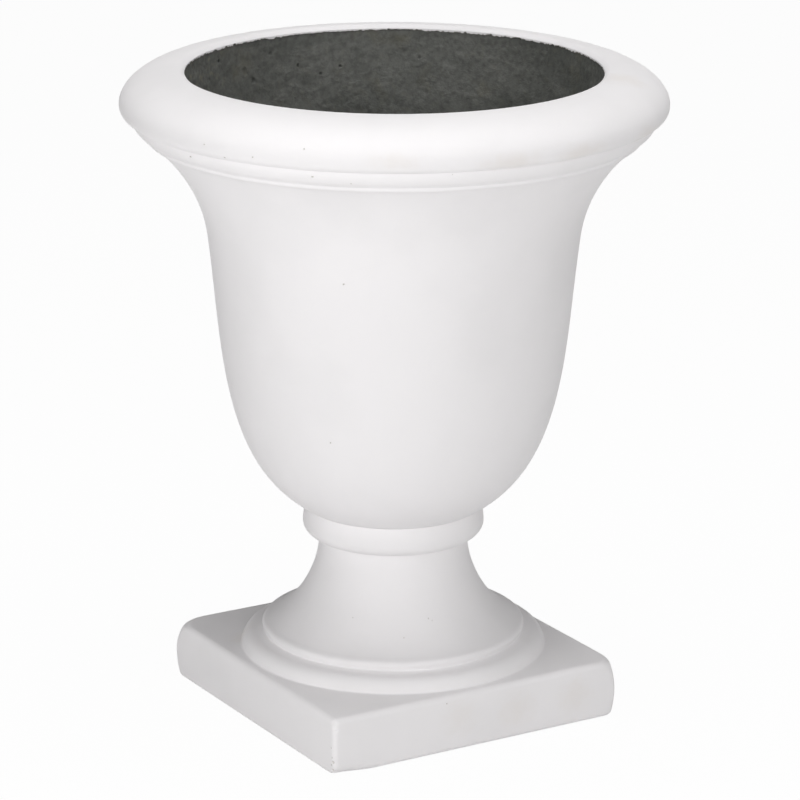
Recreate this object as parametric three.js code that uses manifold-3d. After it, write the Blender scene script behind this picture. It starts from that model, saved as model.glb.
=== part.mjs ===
// Urn planter: a bell-shaped bowl on a turned pedestal with a square plinth.
// Both castings have a white face layer over a dark fibre-cement backing. A bolt through the
// bowl's floor holds them together, and a rubber plug closes the drain hole beside it.
// Millimetres, +Z up. The origin is the middle of the plinth's underside.
import * as THREE from 'three';
import { mergeVertices } from 'three/addons/utils/BufferGeometryUtils.js';
import Module from 'manifold-3d';

const wasm = await Module();
wasm.setup();

// Layers of the castings
const faceThickness = 3;
const wallThickness = 10;
const layerGap = 0.3;
const faceLift = 1.2;

// Square plinth
const plinthSide = 306;
const plinthThickness = 57;
const plinthCornerRadius = 5;
const cornerTopGrowth = 24;
const cornerFootGrowth = 5;
const plinthTopEdge = 6;
const plinthFootEdge = 2.6;
const cornerTightening = 0.8;
const smallestCorner = 1;

// Foot rings on the plinth
const torusRadius = 143.4;
const torusRise = 13.2;
const torusReach = 15.4;
const torusBulge = 4.6;
const ringRadius = 124.4;
const ringRise = 10.2;
const ringReach = 6.3;
const ringBulge = 2.4;

// Flaring stem and its neck
const neckRadius = 70;
const neckRise = 8;
const stemRise = 77.6;
const stemTopHandle = 17.5;
const stemFootHandle = 36;
const stemFootAngle = 0.423;

// Collar under the bowl
const collarRise = 28.7;
const collarRadius = 84.9;
const collarBellyRise = 12;
const collarShoulder = 9;
const seatRadius = 81.8;

// Bell of the bowl
const waistRadius = 171.4;
const waistHeight = 261.5;
const waistLean = 0.128;
const bellRise = 351.9;
const bellFootAngle = 0.5;
const bellFootHandle = 92.5;
const bellyHandle = 102.7;
const flareHandle = 53.2;
const flareTopAngle = 0.582;
const flareTopHandle = 8;

// Bead and band under the rim
const beadRise = 6.6;
const beadReach = 4.3;
const beadBulge = 1.4;
const bandRise = 16;
const bandReach = 12.4;
const bandBulge = 2.9;

// Rolled rim and mouth
const rimRadius = 250;
const rimWidth = 59.5;
const rimUnderReach = 9.9;
const rimUnderRise = 8.9;
const crownRise = 31.6;
const lipRadius = 5.5;
const lipDrop = 1.5;

// Inside of the bowl
const floorThickness = 13;
const mouthWallHandle = 54;
const innerFlareHandle = 48;

// Joint between the bowl and the pedestal
const sealThickness = 2;
const sealWidth = 11.7;
const sealEdgeGap = 2;
const deckThickness = 14;

// Bolt, washers and nut
const boltRadius = 6;
const boltHoleClearance = 1;
const threadClearance = 0.3;
const headWidth = 18;
const headHeight = 7.5;
const nutHeight = 10;
const boltEnd = 5;
const hexSides = 6;
const boltSealRadius = 18;
const boltSealThickness = 3;
const washerRadius = 16;
const deckWasherRadius = 22;
const washerThickness = 2.5;

// Drain hole and plug
const drainOffset = 40;
const drainRadius = 10;
const plugClearance = 0.3;
const plugLength = 11;
const plugTaper = 1.2;
const plugFlangeRadius = 14;
const plugFlangeThickness = 3;
const plugFlangeChamfer = 1;
const plugTabWidth = 15;
const plugTabHeight = 10;
const plugTabThickness = 4;

// Facets round each turned piece
const castingSegments = 44;
const fittingSegments = 24;
const cornerSteps = 3;
const edgeSteps = 3;
const footEdgeSteps = 2;
const tabCornerSteps = 3;

// How far a cutter runs past the face it cuts, and how near two corners are welded into one
const overshoot = 1;
const weldDistance = 1e-4;

// The share of its depth that a point of an inset outline must keep from the outline
const insetShare = 0.9;

// Levels, from the floor up
const plinthTop = plinthThickness;
const torusTop = plinthTop + torusRise;
const ringTop = torusTop + ringRise;
const neckFoot = ringTop + stemRise;
const collarFoot = neckFoot + neckRise;
const seatLevel = collarFoot + collarRise + layerGap;
const deckLevel = seatLevel - sealThickness;
const deckUnderside = deckLevel - deckThickness;
const waistLevel = seatLevel + waistHeight;
const beadFoot = seatLevel + bellRise;
const bandFoot = beadFoot + beadRise;
const bandTop = bandFoot + bandRise;
const rimLevel = bandTop + rimUnderRise;
const rimTop = rimLevel + crownRise;
const floorLevel = seatLevel + floorThickness;

// Radii that follow from the rim
const bandTopRadius = rimRadius - rimUnderReach;
const bandFootRadius = bandTopRadius - bandReach;
const beadFootRadius = bandFootRadius - beadReach;
const throatRadius = rimRadius - rimWidth;
const crestRadius = throatRadius + lipRadius;
const lipLevel = rimTop - lipRadius;
const faceEdge = lipLevel - lipDrop;
const boltHoleRadius = boltRadius + boltHoleClearance;

const finish = (color, roughness, metalness) => () => (
  new THREE.MeshStandardMaterial({ color, roughness, metalness })
);
const faceMaterial = finish(0xe9e8e6, 0.75, 0);
const backingMaterial = finish(0x4b4e4a, 0.95, 0);
const rubberMaterial = finish(0x1d1d1e, 0.8, 0);
const steelMaterial = finish(0xb4b6b8, 0.35, 1);

const at = (radius, level) => new THREE.Vector2(radius, level);
const polar = (angle, length) => at(Math.cos(angle) * length, Math.sin(angle) * length);

// A moulding between two points of an outline, swelling by `bulge` to the right of the way it runs.
function moulding(from, to, bulge) {
  const along = to.clone().sub(from).normalize();
  const swell = at(along.y, -along.x).multiplyScalar(2 * bulge);
  return new THREE.QuadraticBezierCurve(from, from.clone().lerp(to, 0.5).add(swell), to);
}

// One quarter of an ellipse, starting at the given number of quarter turns.
const quarter = Math.PI / 2;
function ellipse(radius, level, reach, rise, firstQuarter) {
  const start = firstQuarter * quarter;
  return new THREE.EllipseCurve(radius, level, reach, rise, start, start + quarter);
}

// Points along a chain of curves, each given with the number of steps it takes.
function trace(chain) {
  return chain.flatMap(([curve, steps], index) => curve.getPoints(steps).slice(index === 0 ? 0 : 1));
}

function distanceToProfile(point, profile) {
  let nearest = Infinity;
  for (let i = 1; i < profile.length; i += 1) {
    const edge = profile[i].clone().sub(profile[i - 1]);
    const reach = point.clone().sub(profile[i - 1]);
    const share = THREE.MathUtils.clamp(reach.dot(edge) / edge.lengthSq(), 0, 1);
    nearest = Math.min(nearest, reach.sub(edge.multiplyScalar(share)).length());
  }
  return nearest;
}

// Moves an outline sideways into its material, which lies to the left of the way it runs.
// Points that a tight moulding would fold back are left out.
function inset(profile, depth) {
  const moved = profile.map((point, i) => {
    const before = profile[Math.max(i - 1, 0)];
    const after = profile[Math.min(i + 1, profile.length - 1)];
    const along = after.clone().sub(before).normalize();
    return at(point.x - along.y * depth, point.y + along.x * depth);
  });
  return moved.filter((point) => distanceToProfile(point, profile) > depth * insetShare);
}

// Runs the lower end of a rising outline on, or cuts it off, at a level.
function startAt(profile, level) {
  const rest = profile.filter((point) => point.y > level);
  const slope = (rest[1].x - rest[0].x) / (rest[1].y - rest[0].y);
  return [at(rest[0].x + (level - rest[0].y) * slope, level), ...rest];
}

// A turned solid. The profile runs up its outside and ends on the axis or where it began.
function turn(profile, segments) {
  const geometry = new THREE.LatheGeometry(profile, segments);
  geometry.rotateX(Math.PI / 2);
  return geometry;
}

function ring(inner, outer, low, high, segments) {
  const corners = [at(inner, low), at(outer, low), at(outer, high), at(inner, high), at(inner, low)];
  return turn(corners, segments);
}

// An upright prism or cylinder whose axis stands at x = offset.
function post(radius, low, high, sides, offset = 0) {
  const geometry = new THREE.CylinderGeometry(radius, radius, high - low, sides);
  geometry.rotateX(Math.PI / 2);
  geometry.translate(offset, 0, (low + high) / 2);
  return geometry;
}

// A square block with rounded corners, lofted through its layers from the lowest up.
function squareBlock(layers) {
  const corners = [[1, 1], [-1, 1], [-1, -1], [1, -1]];
  const around = corners.length * (cornerSteps + 1);
  const positions = [];
  for (const { half, corner, level } of layers) {
    corners.forEach(([sideX, sideY], quarter) => {
      for (let step = 0; step <= cornerSteps; step += 1) {
        const angle = (quarter + step / cornerSteps) * Math.PI / 2;
        const x = sideX * (half - corner) + Math.cos(angle) * corner;
        const y = sideY * (half - corner) + Math.sin(angle) * corner;
        positions.push(x, y, level);
      }
    });
  }
  const faces = [];
  for (let layer = 0; layer + 1 < layers.length; layer += 1) {
    for (let i = 0; i < around; i += 1) {
      const a = layer * around + i;
      const b = layer * around + (i + 1) % around;
      faces.push(a, b, b + around, a, b + around, a + around);
    }
  }
  const top = (layers.length - 1) * around;
  for (let i = 1; i + 1 < around; i += 1) {
    faces.push(0, i + 1, i, top, top + i, top + i + 1);
  }
  const geometry = new THREE.BufferGeometry();
  geometry.setAttribute('position', new THREE.Float32BufferAttribute(positions, 3));
  geometry.setIndex(faces);
  return geometry;
}

function toSolid(geometry) {
  const bare = geometry.clone();
  bare.deleteAttribute('normal');
  bare.deleteAttribute('uv');
  const merged = mergeVertices(bare, weldDistance);
  const corners = merged.index.array;
  const whole = [];
  for (let i = 0; i < corners.length; i += 3) {
    const [a, b, c] = [corners[i], corners[i + 1], corners[i + 2]];
    if (a !== b && b !== c && c !== a) whole.push(a, b, c);
  }
  const vertProperties = new Float32Array(merged.attributes.position.array);
  const triVerts = new Uint32Array(whole);
  return new wasm.Manifold(new wasm.Mesh({ numProp: 3, vertProperties, triVerts }));
}

function toGeometry(solid) {
  const { numProp, vertProperties, triVerts } = solid.getMesh();
  const positions = new Float32Array((vertProperties.length / numProp) * 3);
  for (let i = 0; i * numProp < vertProperties.length; i += 1) {
    positions.set(vertProperties.subarray(i * numProp, i * numProp + 3), i * 3);
  }
  const geometry = new THREE.BufferGeometry();
  geometry.setAttribute('position', new THREE.BufferAttribute(positions, 3));
  geometry.setIndex(new THREE.BufferAttribute(new Uint32Array(triVerts), 1));
  return geometry;
}

const planter = new THREE.Group();

function add(name, geometry, material, offset = 0) {
  geometry.computeVertexNormals();
  const mesh = new THREE.Mesh(geometry, material);
  mesh.name = name;
  mesh.position.x = offset;
  planter.add(mesh);
}

// Bowl: the outline runs up from the seat, out along the flare and over the rim to its crest.
const waist = at(waistRadius, waistLevel);
const waistAlong = at(waistLean, 1).normalize();
const flareEnd = at(beadFootRadius, beadFoot);
const bellCurve = new THREE.CubicBezierCurve(
  at(seatRadius, seatLevel),
  at(seatRadius, seatLevel).add(polar(bellFootAngle, bellFootHandle)),
  waist.clone().addScaledVector(waistAlong, -bellyHandle),
  waist,
);
const flareCurve = new THREE.CubicBezierCurve(
  waist,
  waist.clone().addScaledVector(waistAlong, flareHandle),
  flareEnd.clone().sub(polar(flareTopAngle, flareTopHandle)),
  flareEnd,
);
const beadCurve = moulding(flareEnd, at(bandFootRadius, bandFoot), beadBulge);
const bandCurve = moulding(at(bandFootRadius, bandFoot), at(bandTopRadius, bandTop), bandBulge);
const rimUnderCurve = ellipse(bandTopRadius, rimLevel, rimUnderReach, rimUnderRise, -1);
const crownCurve = ellipse(crestRadius, rimLevel, rimRadius - crestRadius, crownRise, 0);
const lipCurve = ellipse(crestRadius, lipLevel, lipRadius, lipRadius, 1);

const bowlOutside = trace([
  [bellCurve, 11],
  [flareCurve, 6],
  [beadCurve, 2],
  [bandCurve, 3],
  [rimUnderCurve, 3],
  [crownCurve, 6],
  [lipCurve, 2],
]);
const bowlGuide = trace([
  [bellCurve, 7],
  [flareCurve, 4],
  [beadCurve, 1],
  [bandCurve, 1],
  [rimUnderCurve, 2],
  [crownCurve, 4],
]);
const bowlFaceEnd = [at(throatRadius + faceThickness, faceEdge), at(throatRadius, faceEdge)];
const bowlFaceBack = [...inset(bowlGuide, faceThickness), ...bowlFaceEnd];
const bowlFaceInside = startAt(bowlFaceBack, seatLevel).reverse();
const bowlFaceProfile = [...bowlOutside, ...bowlFaceInside, bowlOutside[0]];
add('bowl_face', turn(bowlFaceProfile, castingSegments), faceMaterial());

// The backing fills the rim, and its own inside runs from the mouth down to a flat floor.
const innerWaist = waist.clone().add(at(-waistAlong.y, waistAlong.x).multiplyScalar(wallThickness));
const mouthEdge = at(throatRadius, faceEdge - layerGap);
const mouthCurve = new THREE.CubicBezierCurve(
  mouthEdge,
  mouthEdge.clone().sub(at(0, mouthWallHandle)),
  innerWaist.clone().addScaledVector(waistAlong, innerFlareHandle),
  innerWaist,
);
const bellInside = startAt(inset(trace([[bellCurve, 7]]), wallThickness), floorLevel).reverse();
const bowlBackingProfile = [
  at(boltHoleRadius, seatLevel),
  ...startAt(inset(bowlFaceBack, layerGap), seatLevel),
  ...trace([[mouthCurve, 4]]).slice(1),
  ...bellInside.slice(1),
  at(boltHoleRadius, floorLevel),
  at(boltHoleRadius, seatLevel),
];
const drainThroughBowl = toSolid(
  post(drainRadius, seatLevel - overshoot, floorLevel + overshoot, fittingSegments, drainOffset),
);
const bowlBacking = toSolid(turn(bowlBackingProfile, castingSegments)).subtract(drainThroughBowl);
add('bowl_backing', toGeometry(bowlBacking), backingMaterial());

// Pedestal: the outline runs up from the plinth over the foot rings and the stem to the neck.
const grooveRadius = torusRadius - torusReach;
const torusCurve = moulding(at(torusRadius, plinthTop), at(grooveRadius, torusTop), torusBulge);
const grooveCurve = new THREE.LineCurve(at(grooveRadius, torusTop), at(ringRadius, torusTop));
const stemFoot = at(ringRadius - ringReach, ringTop);
const ringCurve = moulding(at(ringRadius, torusTop), stemFoot, ringBulge);
const stemCurve = new THREE.CubicBezierCurve(
  stemFoot,
  stemFoot.clone().add(polar(Math.PI - stemFootAngle, stemFootHandle)),
  at(neckRadius, neckFoot - stemTopHandle),
  at(neckRadius, neckFoot),
);
const collarBelly = collarFoot + collarBellyRise;
const collarTop = at(seatRadius, seatLevel - layerGap);
const neckCurve = new THREE.LineCurve(at(neckRadius, neckFoot), at(neckRadius, collarFoot));
const collarReach = collarRadius - neckRadius;
const collarUnderCurve = ellipse(neckRadius, collarBelly, collarReach, collarBellyRise, -1);
const collarCurve = new THREE.QuadraticBezierCurve(
  at(collarRadius, collarBelly),
  at(collarRadius, collarBelly + collarShoulder),
  collarTop,
);
const pedestalOutside = trace([
  [torusCurve, 3],
  [grooveCurve, 1],
  [ringCurve, 3],
  [stemCurve, 8],
  [neckCurve, 1],
  [collarUnderCurve, 3],
  [collarCurve, 3],
]);
const pedestalGuide = trace([
  [torusCurve, 1],
  [grooveCurve, 1],
  [ringCurve, 1],
  [stemCurve, 6],
]);

// The plinth's upright corners are hand-dressed: rounder towards its top and its foot.
const plinthMiddle = plinthTop / 2;
function cornerRadius(level) {
  const fromMiddle = level / plinthMiddle - 1;
  const growth = fromMiddle > 0 ? cornerTopGrowth : cornerFootGrowth;
  return plinthCornerRadius + growth * fromMiddle ** 2;
}

// The turned part and the plinth as one block, `depth` inside the outline that `back` follows.
// The turned part runs down to the plinth's middle, so that the two make one solid.
function pedestalBlock(back, depth, foot, top) {
  const turned = turn([
    at(0, plinthMiddle),
    at(back[0].x, plinthMiddle),
    ...back,
    at(neckRadius - depth, top),
    at(0, top),
  ], castingSegments);
  const half = plinthSide / 2 - depth;
  const levels = [foot, plinthMiddle, plinthTop - depth];
  const square = squareBlock(levels.map((level) => (
    { half, corner: Math.max(cornerRadius(level) - depth, smallestCorner), level }
  )));
  return toSolid(turned).add(toSolid(square));
}

function roundedPlinth() {
  const layers = [];
  for (let step = 0; step <= footEdgeSteps; step += 1) {
    const angle = (step / footEdgeSteps) * quarter;
    const drawnIn = plinthFootEdge * (1 - Math.sin(angle));
    layers.push({ drawnIn, level: faceLift + plinthFootEdge * (1 - Math.cos(angle)) });
  }
  layers.push({ drawnIn: 0, level: plinthMiddle });
  for (let step = 0; step <= edgeSteps; step += 1) {
    const angle = (step / edgeSteps) * quarter;
    const drawnIn = plinthTopEdge * (1 - Math.cos(angle));
    layers.push({ drawnIn, level: plinthTop - plinthTopEdge * (1 - Math.sin(angle)) });
  }
  return squareBlock(layers.map(({ drawnIn, level }) => {
    const corner = Math.max(cornerRadius(level) - drawnIn * cornerTightening, smallestCorner);
    return { half: plinthSide / 2 - drawnIn, corner, level };
  }));
}

const pedestalFaceBack = inset(pedestalGuide, faceThickness);
const pedestalBackingBack = inset(pedestalFaceBack, layerGap);
const pedestalCavityBack = inset(pedestalGuide, wallThickness);
const turnedOutside = turn([
  at(0, plinthMiddle),
  at(torusRadius, plinthMiddle),
  ...pedestalOutside,
  at(0, collarTop.y),
], castingSegments);
const belowFloor = -overshoot;
const pedestalFace = toSolid(turnedOutside)
  .add(toSolid(roundedPlinth()))
  .subtract(pedestalBlock(pedestalFaceBack, faceThickness, belowFloor, seatLevel + overshoot));
add('pedestal_face', toGeometry(pedestalFace), faceMaterial());

const backingDepth = faceThickness + layerGap;
const holeThroughDeck = (radius, offset) => (
  toSolid(post(radius, deckUnderside - overshoot, deckLevel + overshoot, fittingSegments, offset))
);
const pedestalBacking = pedestalBlock(pedestalBackingBack, backingDepth, 0, deckLevel)
  .subtract(pedestalBlock(pedestalCavityBack, wallThickness, belowFloor, deckUnderside))
  .subtract(holeThroughDeck(boltHoleRadius, 0))
  .subtract(holeThroughDeck(drainRadius, drainOffset));
add('pedestal_backing', toGeometry(pedestalBacking), backingMaterial());

// The bowl sits on a bedding ring on the deck, hidden by the collar.
const sealOuterRadius = neckRadius - backingDepth - sealEdgeGap;
const sealInnerRadius = sealOuterRadius - sealWidth;
const seatSeal = ring(sealInnerRadius, sealOuterRadius, deckLevel, seatLevel, fittingSegments);
add('seat_seal', seatSeal, rubberMaterial());

// Bolt through the floor of the bowl and the deck of the pedestal
const hexRadius = headWidth / 2 / Math.cos(Math.PI / hexSides);
const sealWasherTop = floorLevel + boltSealThickness;
const headFoot = sealWasherTop + washerThickness;
const nutTop = deckUnderside - washerThickness;
const nutFoot = nutTop - nutHeight;
const boltHead = toSolid(post(hexRadius, headFoot, headFoot + headHeight, hexSides));
const boltShank = toSolid(post(boltRadius, nutFoot - boltEnd, headFoot + headHeight / 2, fittingSegments));
add('centre_bolt', toGeometry(boltHead.add(boltShank)), steelMaterial());
const washerBore = boltRadius + threadClearance;
const washer = (radius, low, high) => ring(washerBore, radius, low, high, fittingSegments);
add('bolt_seal', washer(boltSealRadius, floorLevel, sealWasherTop), rubberMaterial());
add('bolt_washer', washer(washerRadius, sealWasherTop, headFoot), steelMaterial());
add('deck_washer', washer(deckWasherRadius, nutTop, deckUnderside), steelMaterial());
const nutBore = toSolid(post(washerBore, nutFoot - overshoot, nutTop + overshoot, fittingSegments));
const nut = toSolid(post(hexRadius, nutFoot, nutTop, hexSides)).subtract(nutBore);
add('clamp_nut', toGeometry(nut), steelMaterial());

// Rubber plug: a tapered stopper with a flange that lies on the floor, and a tab to pull it by
const plugRadius = drainRadius - plugClearance;
const plugFoot = floorLevel - plugLength;
const plugTop = floorLevel + plugFlangeThickness;
const plugRound = turn([
  at(0, plugFoot),
  at(plugRadius - plugTaper, plugFoot),
  at(plugRadius, plugFoot + plugLength / 2),
  at(plugRadius, floorLevel),
  at(plugFlangeRadius, floorLevel),
  at(plugFlangeRadius, plugTop - plugFlangeChamfer),
  at(plugFlangeRadius - plugFlangeChamfer, plugTop),
  at(0, plugTop),
], fittingSegments);
const tabOutline = new THREE.Shape();
const tabHalf = plugTabWidth / 2;
const tabCorner = plugTabHeight / 2;
tabOutline.moveTo(-tabHalf, -plugFlangeThickness / 2);
tabOutline.lineTo(tabHalf, -plugFlangeThickness / 2);
tabOutline.lineTo(tabHalf, plugTabHeight - tabCorner);
tabOutline.absarc(tabHalf - tabCorner, plugTabHeight - tabCorner, tabCorner, 0, quarter);
tabOutline.absarc(tabCorner - tabHalf, plugTabHeight - tabCorner, tabCorner, quarter, 2 * quarter);
tabOutline.closePath();
const tab = new THREE.ExtrudeGeometry(tabOutline, {
  depth: plugTabThickness,
  bevelEnabled: false,
  curveSegments: tabCornerSteps,
});
tab.rotateX(quarter);
tab.translate(0, plugTabThickness / 2, plugTop);
add('drain_plug', toGeometry(toSolid(plugRound).add(toSolid(tab))), rubberMaterial(), drainOffset);

export default planter;
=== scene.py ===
import math

import bmesh
import bpy
import numpy as np
from mathutils import Matrix, Vector, noise


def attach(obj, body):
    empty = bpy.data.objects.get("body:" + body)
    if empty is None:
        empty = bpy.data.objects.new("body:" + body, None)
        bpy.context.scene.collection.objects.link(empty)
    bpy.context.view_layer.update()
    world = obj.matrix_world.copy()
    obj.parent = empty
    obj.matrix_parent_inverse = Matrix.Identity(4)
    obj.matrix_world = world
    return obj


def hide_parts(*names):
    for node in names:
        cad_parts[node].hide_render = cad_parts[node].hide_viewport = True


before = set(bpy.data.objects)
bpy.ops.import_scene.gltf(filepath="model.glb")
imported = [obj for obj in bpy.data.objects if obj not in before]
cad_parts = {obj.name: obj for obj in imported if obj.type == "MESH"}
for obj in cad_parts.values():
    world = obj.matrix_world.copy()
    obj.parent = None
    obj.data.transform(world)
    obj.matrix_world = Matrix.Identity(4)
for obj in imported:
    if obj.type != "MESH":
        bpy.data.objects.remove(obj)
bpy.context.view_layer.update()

mm = 0.001
planter = "planter"


# Outlines are lists of (radius, level) in mm

def unit(vector):
    vector = np.array(vector, float)
    return vector / np.linalg.norm(vector)


def polar(angle, length):
    return np.array([math.cos(angle), math.sin(angle)]) * length


def bezier(*controls, steps=200):
    share = np.linspace(0, 1, steps + 1)[:, None]
    bends = [np.array(control, float) for control in controls]
    while len(bends) > 1:
        bends = [(1 - share) * a + share * b for a, b in zip(bends, bends[1:])]
    return bends[0]


def quarterArc(radius, level, reach, rise, firstQuarter, steps=60):
    angle = (firstQuarter + np.linspace(0, 1, steps + 1)) * math.pi / 2
    return np.stack([radius + reach * np.cos(angle), level + rise * np.sin(angle)], 1)


def moulding(start, end, bulge):
    start, end = np.array(start, float), np.array(end, float)
    along = unit(end - start)
    swell = np.array([along[1], -along[0]]) * 2 * bulge
    return bezier(start, (start + end) / 2 + swell, end, steps=40)


def respace(outline, step):
    lengths = np.cumsum(np.linalg.norm(np.diff(outline, axis=0), axis=1))
    lengths = np.concatenate([[0], lengths])
    kept = np.concatenate([[True], np.diff(lengths) > 1e-9])
    outline, lengths = outline[kept], lengths[kept]
    places = np.linspace(0, lengths[-1], max(2, round(lengths[-1] / step) + 1))
    return np.stack([np.interp(places, lengths, outline[:, i]) for i in (0, 1)], 1)


def soften(outline, reach, step=0.2):
    # rounds the creases by a moving average, as the face mix fills them
    fine = respace(outline, step)
    count = int(3 * reach / step)
    weights = np.exp(-0.5 * (np.arange(-count, count + 1) * step / reach) ** 2)
    weights /= weights.sum()
    before = 2 * fine[0] - fine[count:0:-1]
    after = 2 * fine[-1] - fine[-2:-count - 2:-1]
    padded = np.concatenate([before, fine, after])
    return np.stack([np.convolve(padded[:, i], weights, "valid") for i in (0, 1)], 1)


def thin(outline, widest, turn):
    # keeps a point wherever the outline has run or turned far enough
    kept = [0]
    heading = unit(outline[1] - outline[0])
    for i in range(1, len(outline) - 1):
        now = unit(outline[i + 1] - outline[i])
        far = np.linalg.norm(outline[i] - outline[kept[-1]]) >= widest
        turned = math.acos(max(-1.0, min(1.0, float(now @ heading))))
        if far or turned >= math.radians(turn):
            kept.append(i)
            heading = now
    return outline[kept + [len(outline) - 1]]


def inset(outline, depth):
    # moves an outline into its material, which lies to the left of the way it runs
    along = np.gradient(outline, axis=0)
    along /= np.linalg.norm(along, axis=1)[:, None]
    moved = outline + np.stack([-along[:, 1], along[:, 0]], 1) * depth
    fine = respace(outline, 0.5)
    gaps = np.linalg.norm(moved[:, None] - fine[None], axis=2).min(1)
    return moved[gaps > depth * 0.96]


# Meshes are made of rings of points round the planter's axis

def evenAngles(count):
    return np.arange(count) * 2 * math.pi / count


def squareAngles(half, corners, step, cornerSteps):
    # angles that step a square's sides evenly, and finely its corners of each given radius
    widest = max(corners)
    side = np.linspace(widest - half, half - widest, round(2 * (half - widest) / step) + 1)
    bend = np.linspace(0, math.pi / 2, cornerSteps + 1)
    angles = []
    for quarter in range(4):
        turned = quarter * math.pi / 2
        angles += list(turned + np.arctan2(side, half))
        for corner in corners:
            bendX = half - corner + corner * np.cos(bend)
            bendY = half - corner + corner * np.sin(bend)
            angles += list(turned + np.arctan2(bendY, bendX))
    angles = np.sort(np.mod(np.array(angles), 2 * math.pi))
    apart = np.diff(angles, append=angles[0] + 2 * math.pi) > 0.0015
    return angles[apart]


def squareReach(half, corner, angles):
    # how far a square with rounded corners reaches along each angle
    x, y = np.abs(np.cos(angles)), np.abs(np.sin(angles))
    straight = half / np.maximum(x, y)
    centre = half - corner
    along = (x + y) * centre
    root = np.sqrt(np.maximum(along ** 2 - 2 * centre ** 2 + corner ** 2, 0))
    return np.where(np.minimum(x, y) * straight > centre, along + root, straight)


def ring(radius, level, angles):
    radius = np.broadcast_to(radius, angles.shape)
    level = np.broadcast_to(level, angles.shape)
    return np.stack([radius * np.cos(angles), radius * np.sin(angles), level], 1)


def ringsOf(outline, angles):
    return [ring(r, z, angles) for r, z in outline]


def stitch(low, high, lowStart, highStart):
    # faces between two rings, where one may have a whole multiple of the other's points
    if low == high:
        return [
            (lowStart + i, lowStart + (i + 1) % low, highStart + (i + 1) % low, highStart + i)
            for i in range(low)
        ]
    coarse, fine = min(low, high), max(low, high)
    share = fine // coarse
    faces = []
    for i in range(coarse):
        after = (i + 1) % coarse
        for k in range(share):
            near = i if k < share / 2 else after
            p, q = i * share + k, (i * share + k + 1) % fine
            if low < high:
                faces.append((lowStart + near, highStart + q, highStart + p))
            else:
                faces.append((lowStart + p, lowStart + q, highStart + near))
        middle = i * share + (share + 1) // 2
        if low < high:
            faces.append((lowStart + i, lowStart + after, highStart + middle))
        else:
            faces.append((highStart + i, lowStart + middle, highStart + after))
    return faces


def ringPiece(name, rings, closed=True):
    starts = np.cumsum([0] + [len(points) for points in rings])
    pairs = list(zip(range(len(rings) - 1), range(1, len(rings))))
    if closed:
        pairs.append((len(rings) - 1, 0))
    faces = []
    for a, b in pairs:
        faces += stitch(len(rings[a]), len(rings[b]), int(starts[a]), int(starts[b]))
    if not closed:
        first, last = len(rings[0]), int(starts[-2])
        faces.append(tuple(range(first - 1, -1, -1)))
        faces.append(tuple(range(last, int(starts[-1]))))
    mesh = bpy.data.meshes.new(name)
    mesh.from_pydata((np.concatenate(rings) * mm).tolist(), [], faces)
    mesh.update()
    piece = bpy.data.objects.new(name, mesh)
    bpy.context.scene.collection.objects.link(piece)
    return piece


def readVectors(items, key):
    found = np.empty(len(items) * 3, np.float32)
    items.foreach_get(key, found)
    return found.reshape(-1, 3).astype(float)


def pointsOf(piece):
    return readVectors(piece.data.vertices, "co") / mm


def normalsOf(piece):
    return readVectors(piece.data.vertex_normals, "vector")


def movePoints(piece, points):
    piece.data.vertices.foreach_set("co", (points * mm).astype(np.float32).ravel())
    piece.data.update()


def smoothFaces(piece, sharpest):
    piece.data.polygons.foreach_set("use_smooth", [True] * len(piece.data.polygons))
    piece.data.set_sharp_from_angle(angle=math.radians(sharpest))
    piece.data.update()


def lumps(points, size, seed, octaves=3, flatten=1.0):
    # soft noise at each point from -1 to 1, with features of the given size in mm
    shift = Vector((seed * 17.3, seed * 5.9, seed * 11.1))
    scaled = points * np.array([1, 1, flatten]) / size
    return np.array([noise.fractal(Vector(p) + shift, 1.0, 2.0, octaves) for p in scaled])


def ramp(values, start, end):
    share = np.clip((np.asarray(values, float) - start) / (end - start), 0, 1)
    return share * share * (3 - 2 * share)


def mark(piece, name, values):
    layer = piece.data.attributes.new(name, "FLOAT", "POINT")
    layer.data.foreach_set("value", np.asarray(values, np.float32))


def refine(piece, spots, reach, cuts):
    # splits the faces round the spots, so that a small pit has points enough
    work = bmesh.new()
    work.from_mesh(piece.data)
    faces = list(work.faces)
    middles = np.array([face.calc_center_median() for face in faces]) / mm
    away = np.linalg.norm(middles[:, None] - np.array(spots)[None], axis=2).min(1)
    near = [faces[i] for i in np.where(away < reach)[0]]
    edges = list({edge for face in near for edge in face.edges})
    bmesh.ops.subdivide_edges(work, edges=edges, cuts=cuts, use_grid_fill=True)
    work.to_mesh(piece.data)
    work.free()
    piece.data.update()


def sinkPits(piece, pits, reach, cuts, seed):
    # pits are (x, y, z, radius, depth, darkness) in mm; their edges are broken by noise
    refine(piece, [pit[:3] for pit in pits], reach, cuts)
    points, normals = pointsOf(piece), normalsOf(piece)
    sunk, dark = np.zeros(len(points)), np.zeros(len(points))
    for i, (x, y, z, radius, depth, darkness) in enumerate(pits):
        away = np.linalg.norm(points - np.array([x, y, z]), axis=1)
        near = np.where(away < 3 * radius)[0]
        if len(near) == 0:
            continue
        broken = away[near] * (1 + 0.45 * lumps(points[near], radius * 1.2, seed + i, 2))
        share = np.clip(1 - (broken / radius) ** 2, 0, 1)
        sunk[near] = np.maximum(sunk[near], depth * share)
        dark[near] = np.maximum(dark[near], darkness * ramp(share, 0.05, 0.6))
    movePoints(piece, points - normals * sunk[:, None])
    mark(piece, "pit", dark)


def pitsOn(outline, pits):
    # places pits on a turned surface by their angle (degrees) and level (mm)
    placed = []
    for angle, level, *size in pits:
        radius = np.interp(level, outline[:, 1], outline[:, 0])
        turned = math.radians(angle)
        placed.append((radius * math.cos(turned), radius * math.sin(turned), level, *size))
    return placed


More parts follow.
